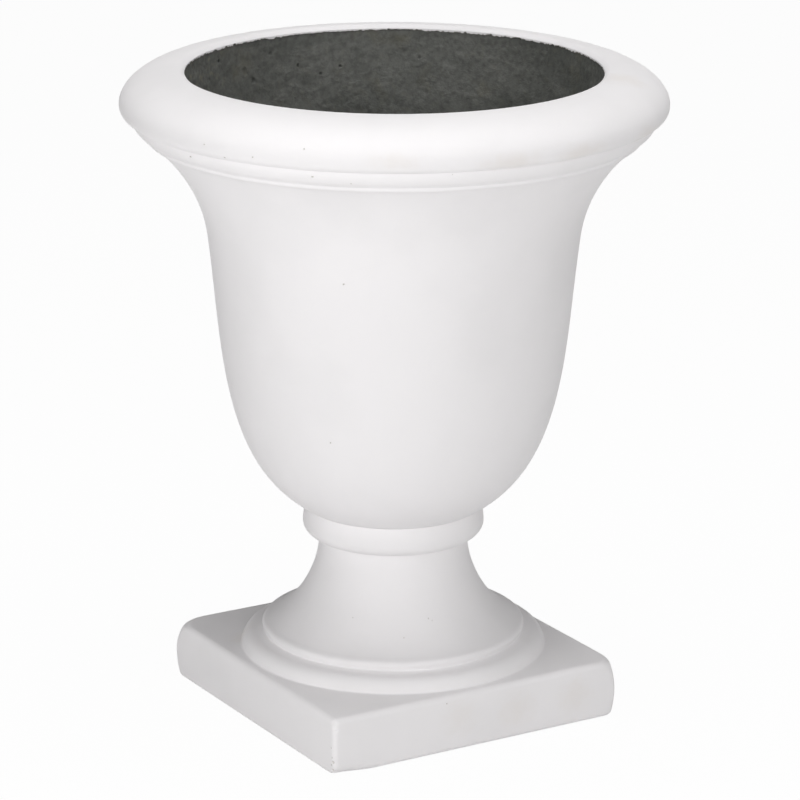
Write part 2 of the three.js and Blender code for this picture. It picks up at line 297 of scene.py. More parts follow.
def drill(piece, radius, low, high, offset):
    # cuts a round hole through a piece
    angles = evenAngles(72)
    rod = ringPiece("drill", [ring(radius, low, angles), ring(radius, high, angles)], closed=False)
    movePoints(rod, pointsOf(rod) + np.array([offset, 0, 0]))
    cut = piece.modifiers.new("hole", "BOOLEAN")
    cut.operation = "DIFFERENCE"
    cut.solver = "EXACT"
    cut.object = rod
    bpy.context.view_layer.update()
    shown = piece.evaluated_get(bpy.context.evaluated_depsgraph_get())
    made = bpy.data.meshes.new_from_object(shown)
    piece.modifiers.clear()
    piece.data = made
    bpy.data.objects.remove(rod)


# Shader nodes

def connect(tree, made, **sockets):
    # links each named input to a socket, or else sets it to a value
    for name, value in sockets.items():
        key = int(name[1:]) if name[1:].isdigit() else name.replace("_", " ")
        if isinstance(value, bpy.types.NodeSocket):
            tree.links.new(value, made.inputs[key])
        else:
            made.inputs[key].default_value = value
    return made


def addNode(tree, kind, settings=None, **sockets):
    made = tree.nodes.new("ShaderNode" + kind)
    for name, value in (settings or {}).items():
        setattr(made, name, value)
    return connect(tree, made, **sockets)


def calculate(tree, operation, a, b):
    return addNode(tree, "Math", {"operation": operation}, i0=a, i1=b).outputs[0]


def calculateVector(tree, operation, a, b):
    return addNode(tree, "VectorMath", {"operation": operation}, i0=a, i1=b).outputs[0]


def fade(tree, value, start, end):
    settings = {"interpolation_type": "SMOOTHSTEP"}
    made = addNode(tree, "MapRange", settings, Value=value, From_Min=start, From_Max=end)
    return made.outputs["Result"]


def spread(tree, value, low, high):
    return addNode(tree, "MapRange", None, Value=value, To_Min=low, To_Max=high).outputs["Result"]


def blendColours(tree, share, first, second):
    ends = [c if isinstance(c, bpy.types.NodeSocket) else (*c, 1) for c in (first, second)]
    return addNode(tree, "Mix", {"data_type": "RGBA"}, Factor=share, i6=ends[0], i7=ends[1]).outputs[2]


def layCoats(tree, colour, coats):
    # lays each coat (mask, strength, colour) over the ones before it
    for mask, strength, coat in coats:
        colour = blendColours(tree, calculate(tree, "MULTIPLY", mask, strength), colour, coat)
    return colour


def newGroup(name, inputs, output):
    group = bpy.data.node_groups.new(name, "ShaderNodeTree")
    for label, value in inputs.items():
        kind = "NodeSocketVector" if isinstance(value, tuple) else "NodeSocketFloat"
        socket = group.interface.new_socket(label, in_out="INPUT", socket_type=kind)
        socket.default_value = value
    group.interface.new_socket(output, in_out="OUTPUT", socket_type="NodeSocketFloat")
    given = group.nodes.new("NodeGroupInput").outputs
    end = group.nodes.new("NodeGroupOutput").inputs[output]
    where = addNode(group, "TexCoord").outputs["Object"]
    return group, given, end, where


def place(tree, group, **sockets):
    return addNode(tree, "Group", {"node_tree": group}, **sockets).outputs[0]


def pressFlat(tree, where, factor):
    # stretches places along Z, so that a pattern read there comes out flatter
    stretch = addNode(tree, "CombineXYZ", X=1.0, Y=1.0, Z=factor).outputs[0]
    return calculateVector(tree, "MULTIPLY", where, stretch)


def cloudGroup():
    # broad soft patches, such as uneven drying leaves
    inputs = {"Size": 0.1, "Low": 0.4, "High": 0.6, "Flatten": 1.0, "Detail": 3.0}
    group, given, end, where = newGroup("cloudPatches", inputs, "Mask")
    flat = pressFlat(group, where, given["Flatten"])
    scale = calculate(group, "DIVIDE", 1.0, given["Size"])
    field = addNode(group, "TexNoise", Vector=flat, Scale=scale, Detail=given["Detail"])
    group.links.new(fade(group, field.outputs[0], given["Low"], given["High"]), end)
    return group


def grainGroup():
    # fine sandy grain with a little coarser roughness under it
    inputs = {"Size": 0.001, "Coarse": 6.0, "Coarse Share": 0.4}
    group, given, end, where = newGroup("sandGrain", inputs, "Height")
    scale = calculate(group, "DIVIDE", 1.0, given["Size"])
    fine = addNode(group, "TexNoise", Vector=where, Scale=scale, Detail=2.0, Roughness=0.6).outputs[0]
    wide = calculate(group, "DIVIDE", scale, given["Coarse"])
    coarse = addNode(group, "TexNoise", Vector=where, Scale=wide, Detail=2.0, Roughness=0.5).outputs[0]
    share = given["Coarse Share"]
    mixed = addNode(group, "Mix", {"data_type": "FLOAT"}, Factor=share, i2=fine, i3=coarse)
    group.links.new(mixed.outputs[0], end)
    return group


def pinholeGroup():
    # scattered air holes: one in a share of the cells, each of its own size
    inputs = {"Spacing": 0.02, "Share": 0.1, "Hole Size": 0.0006, "Uneven": 0.5}
    group, given, end, where = newGroup("airHoles", inputs, "Mask")
    scale = calculate(group, "DIVIDE", 1.0, given["Spacing"])
    cells = addNode(group, "TexVoronoi", Vector=where, Scale=scale, Randomness=0.9)
    draw = addNode(group, "SeparateColor", i0=cells.outputs["Color"]).outputs
    chosen = calculate(group, "LESS_THAN", draw[0], given["Share"])
    shrink = calculate(group, "MULTIPLY", draw[1], given["Uneven"])
    size = calculate(group, "MULTIPLY", given["Hole Size"], calculate(group, "SUBTRACT", 1.0, shrink))
    reach = calculate(group, "MULTIPLY", cells.outputs["Distance"], given["Spacing"])
    inner = calculate(group, "MULTIPLY", size, 0.55)
    hole = calculate(group, "SUBTRACT", 1.0, fade(group, reach, inner, size))
    group.links.new(calculate(group, "MULTIPLY", hole, chosen), end)
    return group


def stainAndPaintedLightGroup():
    # a soft patch round one place, broken up at its edge; it places the warm stains, the flecks and one
    # patch of painted light
    inputs = {"Place": (0.0, 0.0, 0.0), "Reach": 0.03, "Flatten": 1.0}
    group, given, end, where = newGroup("stainAndPaintedLightPatch", inputs, "Mask")
    away = calculateVector(group, "SUBTRACT", where, given["Place"])
    flat = pressFlat(group, away, given["Flatten"])
    far = addNode(group, "VectorMath", {"operation": "LENGTH"}, i0=flat).outputs["Value"]
    field = addNode(group, "TexNoise", Vector=where, Scale=90.0, Detail=4.0, Roughness=0.6).outputs[0]
    share = calculate(group, "DIVIDE", far, given["Reach"])
    broken = calculate(group, "ADD", share, calculate(group, "MULTIPLY", field, 0.9))
    group.links.new(calculate(group, "SUBTRACT", 1.0, fade(group, broken, 0.45, 1.35)), end)
    return group


clouds, sandGrain, airHoles, stainAndPaintedLightPatch = cloudGroup(), grainGroup(), pinholeGroup(), stainAndPaintedLightGroup()


def newMaterial(name):
    material = bpy.data.materials.new(name)
    material.use_nodes = True
    return material, material.node_tree


def shade(material, look, **sockets):
    shader = material.node_tree.nodes["Principled BSDF"]
    shader.inputs["Specular IOR Level"].default_value = look["specular"]
    connect(material.node_tree, shader, **sockets)
    return material


def bump(tree, height, distance, strength, under=None):
    made = addNode(tree, "Bump", Height=height, Distance=distance, Strength=strength)
    if under is not None:
        tree.links.new(under, made.inputs["Normal"])
    return made.outputs["Normal"]


def pointMark(tree, name):
    return addNode(tree, "Attribute", {"attribute_name": name}).outputs["Fac"]


# in each look a bump is its depth (m) and its strength, and roughness is its lowest and highest value
whiteFaceLook = {
    "colour": (0.855, 0.838, 0.844),
    "shadeColour": (0.812, 0.797, 0.802),
    "warmColour": (0.76, 0.71, 0.665),
    "holeColour": (0.30, 0.27, 0.22),
    "chipColour": (0.42, 0.38, 0.31),
    "patches": {"Size": 0.09, "Low": 0.42, "High": 0.68},
    "patchStrength": 0.5,
    "specks": {"Spacing": 0.012, "Share": 0.035, "Hole_Size": 0.00042},
    "speckStrength": 0.55,
    "speckBump": (0.0004, 0.8),
    "grain": {"Size": 0.0012, "Coarse": 7.0, "Coarse_Share": 0.55},
    "grainBump": (0.00022, 0.55),
    "roughness": (0.55, 0.72),
    "specular": 0.28,
}


def whiteFace(name, stains):
    look = whiteFaceLook
    material, tree = newMaterial(name)
    coats = [(place(tree, clouds, **look["patches"]), look["patchStrength"], look["shadeColour"])]
    for x, y, z, reach, flatten, strength in stains:
        middle = (x * mm, y * mm, z * mm)
        stain = place(tree, stainAndPaintedLightPatch, Place=middle, Reach=reach * mm, Flatten=flatten)
        coats.append((stain, strength, look["warmColour"]))
    specks = place(tree, airHoles, **look["specks"])
    coats.append((specks, look["speckStrength"], look["chipColour"]))
    colour = layCoats(tree, look["colour"], coats)
    colour = blendColours(tree, pointMark(tree, "raw"), colour, look["chipColour"])
    colour = blendColours(tree, pointMark(tree, "pit"), colour, look["holeColour"])
    grain = place(tree, sandGrain, **look["grain"])
    under = bump(tree, grain, *look["grainBump"])
    top = bump(tree, calculate(tree, "SUBTRACT", 1.0, specks), *look["speckBump"], under)
    rough = spread(tree, grain, *look["roughness"])
    return shade(material, look, Base_Color=colour, Normal=top, Roughness=rough)


rawBackingLook = {
    "colour": (0.100, 0.105, 0.096),
    "paleColour": (0.185, 0.186, 0.172),
    "ochreColour": (0.160, 0.148, 0.100),
    "darkColour": (0.052, 0.055, 0.051),
    "limeColour": (0.34, 0.34, 0.31),
    # the next colour is painted light: a paler tone for the back of the inside wall, where more light
    # falls
    "bloomAndPaintedLightColour": (0.235, 0.238, 0.222),
    "fleckColour": (0.25, 0.235, 0.17),
    "holeColour": (0.014, 0.015, 0.014),
    "marks": {
        "broad": (clouds, {"Size": 0.07, "Low": 0.35, "High": 0.7, "Flatten": 1.6}),
        "streaks": (clouds, {"Size": 0.016, "Low": 0.42, "High": 0.72, "Flatten": 1.3, "Detail": 5.0}),
        # painted light: a paler patch high on the back of the inside wall, where more light falls on it
        "bloomAndPaintedLight": (stainAndPaintedLightPatch, {"Place": (0.095, 0.16, 0.60), "Reach": 0.20, "Flatten": 1.4}),
        "fine": (clouds, {"Size": 0.0045, "Low": 0.35, "High": 0.75, "Detail": 4.0}),
        "flecks": (clouds, {"Size": 0.006, "Low": 0.52, "High": 0.72}),
        "ochre": (clouds, {"Size": 0.045, "Low": 0.55, "High": 0.75, "Detail": 4.0}),
        "lime": (airHoles, {"Spacing": 0.014, "Share": 0.10, "Hole_Size": 0.0011}),
        "holes": (airHoles, {"Spacing": 0.023, "Share": 0.10, "Hole_Size": 0.0014}),
    },
    # where the flecks are strong, and how strong they are elsewhere
    "fleckPlace": {"Place": (-0.12, 0.145, 0.60), "Reach": 0.09, "Flatten": 1.4},
    "fleckLeast": 0.2,
    # from the lowest coat up: mark, strength and colour
    "coats": [
        ("broad", 0.55, "paleColour"),
        ("streaks", 0.30, "paleColour"),
        # this coat is painted light on the back of the inside wall
        ("bloomAndPaintedLight", 0.5, "bloomAndPaintedLightColour"),
        ("fine", 0.34, "darkColour"),
        ("flecks", 0.5, "fleckColour"),
        ("ochre", 0.45, "ochreColour"),
        ("lime", 0.35, "limeColour"),
        ("holes", 0.7, "holeColour"),
    ],
    "streakBump": (0.0012, 0.5),
    "grain": {"Size": 0.0022, "Coarse": 5.0, "Coarse_Share": 0.5},
    "grainBump": (0.0009, 0.7),
    "holeBump": (0.0012, 0.8),
    "roughness": (0.72, 0.95),
    "specular": 0.25,
}


def rawBacking(name):
    look = rawBackingLook
    material, tree = newMaterial(name)
    masks = {mark: place(tree, group, **given) for mark, (group, given) in look["marks"].items()}
    nearFlecks = calculate(tree, "ADD", look["fleckLeast"], place(tree, stainAndPaintedLightPatch, **look["fleckPlace"]))
    masks["flecks"] = calculate(tree, "MULTIPLY", masks["flecks"], nearFlecks)
    coats = [(masks[mark], strength, look[coat]) for mark, strength, coat in look["coats"]]
    colour = layCoats(tree, look["colour"], coats)
    colour = blendColours(tree, pointMark(tree, "pit"), colour, look["holeColour"])
    under = bump(tree, masks["streaks"], *look["streakBump"])
    middle = bump(tree, place(tree, sandGrain, **look["grain"]), *look["grainBump"], under)
    top = bump(tree, calculate(tree, "SUBTRACT", 1.0, masks["holes"]), *look["holeBump"], middle)
    rough = spread(tree, masks["fine"], *look["roughness"])
    return shade(material, look, Base_Color=colour, Normal=top, Roughness=rough)


rubberLook = {
    "colour": (0.018, 0.018, 0.019),
    "dustColour": (0.10, 0.098, 0.09),
    "dust": {"Size": 0.006, "Low": 0.45, "High": 0.75, "Detail": 5.0},
    "grain": {"Size": 0.0004, "Coarse": 6.0, "Coarse_Share": 0.5},
    "grainBump": (0.00008, 0.6),
    "roughness": (0.5, 0.8),
    "specular": 0.35,
}


def blackRubber(name, dustShare):
    look = rubberLook
    material, tree = newMaterial(name)
    dust = place(tree, clouds, **look["dust"])
    colour = layCoats(tree, look["colour"], [(dust, dustShare, look["dustColour"])])
    normal = bump(tree, place(tree, sandGrain, **look["grain"]), *look["grainBump"])
    rough = spread(tree, dust, *look["roughness"])
    return shade(material, look, Base_Color=colour, Normal=normal, Roughness=rough)


steelLook = {
    "colour": (0.56, 0.57, 0.58),
    "dullColour": (0.36, 0.37, 0.37),
    "bloomAndPaintedLightColour": (0.62, 0.61, 0.57),
    "dull": {"Size": 0.008, "Low": 0.4, "High": 0.7, "Detail": 5.0},
    "dullStrength": 0.6,
    "bloomAndPaintedLight": {"Size": 0.005, "Low": 0.6, "High": 0.8, "Detail": 6.0},
    "bloomStrength": 0.5,
    "grain": {"Size": 0.0003, "Coarse": 8.0, "Coarse_Share": 0.5},
    "grainBump": (0.00004, 0.5),
    "roughness": (0.28, 0.55),
    "metallic": (1.0, 0.6),
    "specular": 0.5,
}


def zincSteel(name):
    look = steelLook
    material, tree = newMaterial(name)
    dull = place(tree, clouds, **look["dull"])
    bloomAndPaintedLight = place(tree, clouds, **look["bloomAndPaintedLight"])
    coats = [
        (dull, look["dullStrength"], look["dullColour"]),
        (bloomAndPaintedLight, look["bloomStrength"], look["bloomAndPaintedLightColour"]),
    ]
    colour = layCoats(tree, look["colour"], coats)
    rough = spread(tree, dull, *look["roughness"])
    metal = spread(tree, bloomAndPaintedLight, *look["metallic"])
    normal = bump(tree, place(tree, sandGrain, **look["grain"]), *look["grainBump"])
    return shade(material, look, Base_Color=colour, Roughness=rough, Metallic=metal, Normal=normal)


def finishPiece(piece, material, slotName, body, *replaced):
    piece.data.materials.clear()
    piece.data.materials.append(material)
    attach(piece, body)
    if replaced:
        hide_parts(*replaced)


# The bowl's outline, from its seat up over the rim to the mouth

bowlShape = {
    "seat": (81.8, 195.0),
    "waist": (171.4, 456.5),
    "waistLean": 0.128,
    "footAngle": 0.5,
    "footHandle": 92.5,
    "bellyHandle": 102.7,
    "flareHandle": 53.2,
    "flareTopAngle": 0.582,
    "flareTopHandle": 8.0,
    "beadFoot": (223.4, 546.9),
    "bandFoot": (227.7, 552.0),
    "bandTop": (240.1, 568.1),
    "beadBulge": 1.2,
    "bandBulge": 2.7,
    "rimLevel": 578.4,
    "rimRadius": 250.0,
    "rimTop": 610.0,
    "crestRadius": 196.0,
    "lipHandle": (193.6, 609.5),
    "lipLevel": 606.6,
    "throatRadius": 190.5,
    "floorLevel": 208.0,
    "wall": 10.0,
    "mouthWallHandle": 54.0,
    "innerFlareHandle": 48.0,
}


def bowlOutside(shape):
    waist, seat = np.array(shape["waist"]), np.array(shape["seat"])
    lean = unit((shape["waistLean"], 1))
    beadFoot = np.array(shape["beadFoot"])
    bell = bezier(
        seat,
        seat + polar(shape["footAngle"], shape["footHandle"]),
        waist - lean * shape["bellyHandle"],
        waist,
    )
    flare = bezier(
        waist,
        waist + lean * shape["flareHandle"],
        beadFoot - polar(shape["flareTopAngle"], shape["flareTopHandle"]),
        beadFoot,
    )
    bandTop = shape["bandTop"]
    bead = moulding(beadFoot, shape["bandFoot"], shape["beadBulge"])
    band = moulding(shape["bandFoot"], bandTop, shape["bandBulge"])
    underReach, underRise = shape["rimRadius"] - bandTop[0], shape["rimLevel"] - bandTop[1]
    under = quarterArc(bandTop[0], shape["rimLevel"], underReach, underRise, -1)
    crest = shape["crestRadius"]
    crownRise = shape["rimTop"] - shape["rimLevel"]
    crown = quarterArc(crest, shape["rimLevel"], shape["rimRadius"] - crest, crownRise, 0)
    return bell, flare, bead, band, under, crown


def bowlLip(shape):
    # the crown falls a little from its crest to a crisp edge at the mouth
    crest = (shape["crestRadius"], shape["rimTop"])
    return bezier(crest, shape["lipHandle"], (shape["throatRadius"], shape["lipLevel"]))


bowlFaceLook = {
    "columns": 360,
    "lipColumns": 1080,
    "creaseReach": 0.7,
    "thickness": 3.0,
    "waves": 0.16,
    "seatInside": 76.5,
    "edgeLevel": 605.0,
    "edgeRagged": 1.9,
    # soft warm tints: x, y, z, reach (mm), how flat, strength
    "stains": [
        (-128, -215, 580, 34, 2.5, 0.30),
        (-30, -248, 575, 46, 3.5, 0.40),
        (39, -247, 575, 46, 3.5, 0.40),
        (134, -208, 573, 40, 3.0, 0.40),
        (151, -143, 609, 34, 1.0, 0.35),
    ],
    # air holes: angle (degrees), level, radius, depth (mm), darkness
    "pits": [
        (-169, 563, 1.0, 0.8, 0.8),
        (-157, 572, 1.1, 0.7, 0.6),
        (-150, 577, 0.8, 0.6, 0.7),
        (-162, 581, 0.8, 0.6, 0.5),
        (-139, 588, 0.8, 0.6, 0.6),
        (-138, 562, 0.9, 0.7, 0.7),
        (-130, 557, 0.8, 0.6, 0.5),
        (-136, 450, 0.9, 0.6, 0.7),
        (-143, 296, 0.8, 0.6, 0.7),
        (-109, 568, 0.6, 0.7, 0.7),
        (-109, 566, 0.6, 0.7, 0.5),
    ],
}


def makeBowlFace():
    look, shape = bowlFaceLook, bowlShape
    outside = soften(np.concatenate(bowlOutside(shape)), look["creaseReach"])
    outside[-1] = (shape["crestRadius"], shape["rimTop"])
    rows = thin(outside, 4.0, 5)
    angles, lipAngles = evenAngles(look["columns"]), evenAngles(look["lipColumns"])
    rings = ringsOf(rows[:-1], angles)
    lip = thin(bowlLip(shape), 1.2, 12)
    rings += ringsOf(lip, lipAngles)

    # the mouth's edge was trimmed by hand, so it wanders and is torn in places
    edge = ring(shape["throatRadius"], look["edgeLevel"], lipAngles)
    ragged = 0.5 * lumps(edge, 24, 3, 2) + np.maximum(lumps(edge, 2.3, 4, 3), -0.35)
    torn = ramp(lumps(edge, 40, 5, 2), -0.35, 0.2)
    edgeLevel = look["edgeLevel"] + look["edgeRagged"] * ragged * (0.3 + 0.7 * torn)
    edgeLevel = np.minimum(edgeLevel, lip[-1][1] - 0.2)
    for share in (0.5, 0.85, 1.0):
        level = lip[-1][1] + (edgeLevel - lip[-1][1]) * share
        rings.append(ring(shape["throatRadius"] + 0.35 * share * ragged, level, lipAngles))
    edgeRing = len(rings) - 1
    rings.append(ring(shape["throatRadius"] + 0.9, edgeLevel + 0.1, lipAngles))
    rings.append(ring(shape["throatRadius"] + 1.3, edgeLevel + 0.5, lipAngles))
    back = inset(respace(outside, 9), look["thickness"])[::-1]
    back = back[back[:, 0] > shape["seat"][0] - 3]
    rings += ringsOf([*back, (look["seatInside"], shape["seat"][1])], angles)
    piece = ringPiece("bowlFace", rings)

    points, normals = pointsOf(piece), normalsOf(piece)
    shift = look["waves"] * (lumps(points, 75, 1, 2) + 0.25 * lumps(points, 14, 2, 2))
    seatFade = ramp(points[:, 2], 196, 215)
    topFade = 1 - ramp(points[:, 2], 600, 604)
    rimFade = 1 - ramp(np.hypot(points[:, 0], points[:, 1]), 246, 249)
    movePoints(piece, points + normals * ((shift - 0.1) * seatFade * topFade * rimFade)[:, None])

    starts = np.cumsum([0] + [len(r) for r in rings])
    raw = np.zeros(len(points))
    raw[starts[edgeRing]:starts[edgeRing + 3]] = 1.0
    raw[starts[edgeRing]:starts[edgeRing + 1]] = 0.2 + 0.8 * torn
    raw[starts[edgeRing - 1]:starts[edgeRing]] = 0.8 * torn * ramp(ragged, -0.2, 0.5)
    mark(piece, "raw", raw)
    sinkPits(piece, pitsOn(outside, look["pits"]), 5.0, 5, 31)
    smoothFaces(piece, 60)
    material = whiteFace("whiteFaceBowl", look["stains"])
    finishPiece(piece, material, "face_layer", planter, "bowl_face")


bowlBackingLook = {
    "columns": 480,
    "lumpDepth": 0.7,
    "trowelDepth": 0.45,
    "boltHole": 7.0,
    "drainRadius": 10.0,
    "drainOffset": 40.0,
    "gap": 0.3,
    "seatInside": 75.5,
    # air holes inside: angle (degrees), level, radius, depth (mm), darkness
    "pits": [
        (118, 594, 2.3, 1.4, 0.8),
        (104, 568, 2.8, 1.0, 0.25),
        (88, 576, 1.7, 1.0, 0.6),
        (81, 566, 1.8, 1.0, 0.5),
        (75, 572, 1.7, 1.0, 0.6),
        (107, 577, 4.0, 0.9, 0.15),
        (124, 580, 2.0, 1.0, 0.4),
        (97, 590, 2.0, 0.8, 0.2),
        (52, 579, 1.8, 0.8, 0.3),
        (-40, 540, 2.6, 1.4, 0.8),
        (-100, 560, 2.4, 1.3, 0.7),
        (-150, 520, 2.8, 1.4, 0.8),
        (170, 430, 2.6, 1.4, 0.8),
    ],
}


def makeBowlBacking():
    look, shape = bowlBackingLook, bowlShape
    angles = evenAngles(look["columns"])
    outside = soften(np.concatenate(bowlOutside(shape)), bowlFaceLook["creaseReach"])
    back = inset(respace(outside, 12), bowlFaceLook["thickness"] + look["gap"])
    back = back[back[:, 1] > shape["seat"][1] + 1]
    throat = shape["throatRadius"]
    back = back[(back[:, 0] > 198) | (back[:, 1] < 500)]
    waist = np.array(shape["waist"])
    lean = unit((shape["waistLean"], 1))
    innerWaist = waist + np.array([-lean[1], lean[0]]) * shape["wall"]
    wall = bezier(
        (throat + 0.8, 603.0),
        (throat + 0.8, 603.0 - shape["mouthWallHandle"]),
        innerWaist + lean * shape["innerFlareHandle"],
        innerWaist,
    )
    bell = inset(respace(bowlOutside(shape)[0], 2), shape["wall"])[::-1]
    bell = bell[bell[:, 1] > shape["floorLevel"] + 0.5]
    floorEdge = bell[-1][0] - 1.0
    floor = [(floorEdge, shape["floorLevel"]), (look["boltHole"], shape["floorLevel"])]
    lip = [(197.0, 606.2), (193.4, 606.0), (throat + 1.9, 605.6), (throat + 1.0, 604.6)]
    inside = np.concatenate([lip, wall, bell, floor])
    inside = thin(soften(inside, 1.2), 3.4, 9)
    seat = shape["seat"][1]
    rows = [(look["boltHole"], seat), (look["seatInside"], seat), *back, *inside]
    piece = ringPiece("bowlBacking", ringsOf(rows, angles))

    # trowelled by hand: shallow lumps, with flatter strokes that run round the wall
    points, normals = pointsOf(piece), normalsOf(piece)
    firstInside = (2 + len(back)) * look["columns"]
    isInside = np.arange(len(points)) >= firstInside
    radius, level = np.hypot(points[:, 0], points[:, 1]), points[:, 2]
    rough = look["lumpDepth"] * lumps(points, 26, 7, 3)
    rough += look["trowelDepth"] * lumps(points, 9, 8, 4, flatten=1.4)
    lipFade = 1 - 0.7 * ramp(level, 598, 604)
    boltFade = ramp(radius, 20, 34)
    floorFade = 0.35 + 0.65 * ramp(level, 210, 240)
    rough = (rough - 0.25) * isInside * lipFade * boltFade * floorFade
    movePoints(piece, points + normals * rough[:, None])
    drill(piece, look["drainRadius"], seat - 2, shape["floorLevel"] + 3, look["drainOffset"])
    sinkPits(piece, pitsOn(wall[::-1], look["pits"]), 5.0, 3, 71)
    smoothFaces(piece, 50)
    finishPiece(piece, rawBacking("rawBackingBowl"), "raw_backing", planter, "bowl_backing")


# The pedestal: plinth, foot rings, flaring stem and collar

pedestalShape = {
    "half": 153.0,
    "corner": 5.0,
    "cornerTopGrowth": 24.0,
    "cornerFootGrowth": 6.0,
    # how much of that growth each corner has, anticlockwise from +X +Y
    "cornerWear": (0.8, 1.0, 0.08, 0.75),
    "footTaper": 1.6,
    "plinthTop": 57.0,
    "topEdge": 6.0,
    "footEdge": 4.6,
    "faceFoot": 1.2,
    "torusRadius": 143.4,
    "grooveRadius": 128.0,
    "torusTop": 70.2,
    "torusBulge": 4.6,
    "ringRadius": 121.8,
    "ringFoot": 71.8,
    "ringTopRadius": 117.4,
    "ringTop": 81.6,
    "ringBulge": 4.2,
    "stemFootAngle": 0.423,
    "stemFootHandle": 36.0,
    "stemTopHandle": 17.5,
    "neckRadius": 70.0,
    "neckFoot": 158.0,
    "collarFoot": 166.0,
    "collarRadius": 84.9,
    "collarBellyRise": 12.0,
    "collarShoulder": 9.0,
    "collarTop": (81.8, 194.9),
}


def pedestalOutside(shape):
    torus = moulding(
        (shape["torusRadius"], shape["plinthTop"]),
        (shape["grooveRadius"], shape["torusTop"]),
        shape["torusBulge"],
    )
    stemFoot = np.array((shape["ringTopRadius"], shape["ringTop"]))
    foot = moulding((shape["ringRadius"], shape["ringFoot"]), stemFoot, shape["ringBulge"])
    neck = shape["neckRadius"]
    stem = bezier(
        stemFoot,
        stemFoot + polar(math.pi - shape["stemFootAngle"], shape["stemFootHandle"]),
        (neck, shape["neckFoot"] - shape["stemTopHandle"]),
        (neck, shape["neckFoot"]),
    )
    belly = shape["collarFoot"] + shape["collarBellyRise"]
    reach = shape["collarRadius"] - neck
    underCollar = quarterArc(neck, belly, reach, shape["collarBellyRise"], -1)
    collar = bezier(
        (shape["collarRadius"], belly),
        (shape["collarRadius"], belly + shape["collarShoulder"]),
        shape["collarTop"],
    )
    return torus, foot, stem, underCollar, collar


pedestalFaceLook = {
    "sideStep": 2.8,
    "cornerSteps": 11,
    "creaseReach": 1.2,
    "thickness": 3.0,
    "waves": 0.22,
    "stains": [
        (-19, -153, 34, 30, 1.0, 0.22),
        (41, -153, 30, 30, 1.0, 0.28),
        (105, -153, 30, 30, 1.0, 0.28),
        (-120, 74, 58, 26, 1.0, 0.30),
    ],
    # air holes in the turned part: angle (degrees), level, radius, depth (mm), darkness
    "pits": [
        (-146, 108, 0.7, 0.5, 0.4),
        (-99, 108, 0.8, 0.5, 0.4),
        (-97, 106, 0.6, 0.4, 0.3),
        (-115, 95, 0.7, 0.5, 0.4),
        (148, 63.5, 1.2, 0.6, 0.8),
    ],
    # chips in the plinth: x, y, z, radius, depth (mm), darkness
    "chips": [
        (-152.6, -147.4, 29, 0.9, 0.5, 0.5),
        (-152.4, -148.6, 20, 1.1, 0.5, 0.35),
        (-152.0, -149.5, 15.5, 1.7, 0.8, 0.45),
        (-152.6, -147.0, 12.5, 0.9, 0.5, 0.8),
        (-152.3, -148.5, 7.5, 2.0, 0.8, 0.4),
        (-151.5, -150.5, 3.0, 1.6, 0.8, 0.5),
        (-150.5, -151.0, 47, 2.2, 0.7, 0.04),
        (-150.5, -148.5, 52.5, 2.6, 0.7, 0.05),
        (-146.0, -150.5, 53.5, 2.0, 0.5, 0.04),
        (-34, -152.6, 50, 0.8, 0.6, 0.8),
        (116, -152.6, 1.6, 1.6, 0.7, 0.4),
        (70, -152.6, 1.4, 1.3, 0.6, 0.35),
    ],
}


def plinthRing(shape, angles, level, drawnIn, tightening=1.0):
    # a level of the plinth: rounder at its corners towards top and foot, and drawn in at its foot
    fromMiddle = 2 * level / shape["plinthTop"] - 1
    growth = shape["cornerTopGrowth"] if fromMiddle > 0 else shape["cornerFootGrowth"]
    wear = np.array(shape["cornerWear"])[(angles // (math.pi / 2)).astype(int) % 4]
    corner = shape["corner"] + growth * wear * fromMiddle ** 2 - drawnIn * tightening
    half = shape["half"] - drawnIn - shape["footTaper"] * min(fromMiddle, 0) ** 2
    return ring(squareReach(half, np.maximum(corner, 1.0), angles), level, angles)


def footInset(shape, level):
    # how far the rounded edge of the foot is drawn in at a level
    low = np.clip(shape["faceFoot"] + shape["footEdge"] - level, 0, shape["footEdge"])
    return shape["footEdge"] - math.sqrt(shape["footEdge"] ** 2 - float(low) ** 2)


def wearFoot(points):
    # the foot is worn off under the +X side of the plinth's front corner
    near = ramp(points[:, 0], -108, -150) * ramp(points[:, 1], -135, -148)
    low = np.clip(1 - points[:, 2] / 11, 0, 1)
    return points + np.array([0, 11.0, 0]) * (near * low ** 2)[:, None]


def plinthAngles(shape, look):
    corners = (shape["corner"], shape["corner"] + 8, shape["corner"] + shape["cornerTopGrowth"])
    return squareAngles(shape["half"], corners, look["sideStep"], look["cornerSteps"])


def squareRings(shape, look, angles):
    # the plinth's side and edges, from its foot up to where the flat top begins
    rings = []
    foot, edge = shape["footEdge"], shape["topEdge"]
    for turn in np.linspace(0, math.pi / 2, 6):
        level = shape["faceFoot"] + foot * (1 - math.cos(turn))
        rings.append(plinthRing(shape, angles, level, foot * (1 - math.sin(turn)), 0.8))
    low, high = shape["faceFoot"] + foot, shape["plinthTop"] - edge
    for level in np.linspace(low, high, round((high - low) / look["sideStep"]) + 1)[1:-1]:
        rings.append(plinthRing(shape, angles, level, 0))
    for turn in np.linspace(0, math.pi / 2, 9):
        level = shape["plinthTop"] - edge * (1 - math.sin(turn))
        rings.append(plinthRing(shape, angles, level, edge * (1 - math.cos(turn)), 0.8))
    return rings


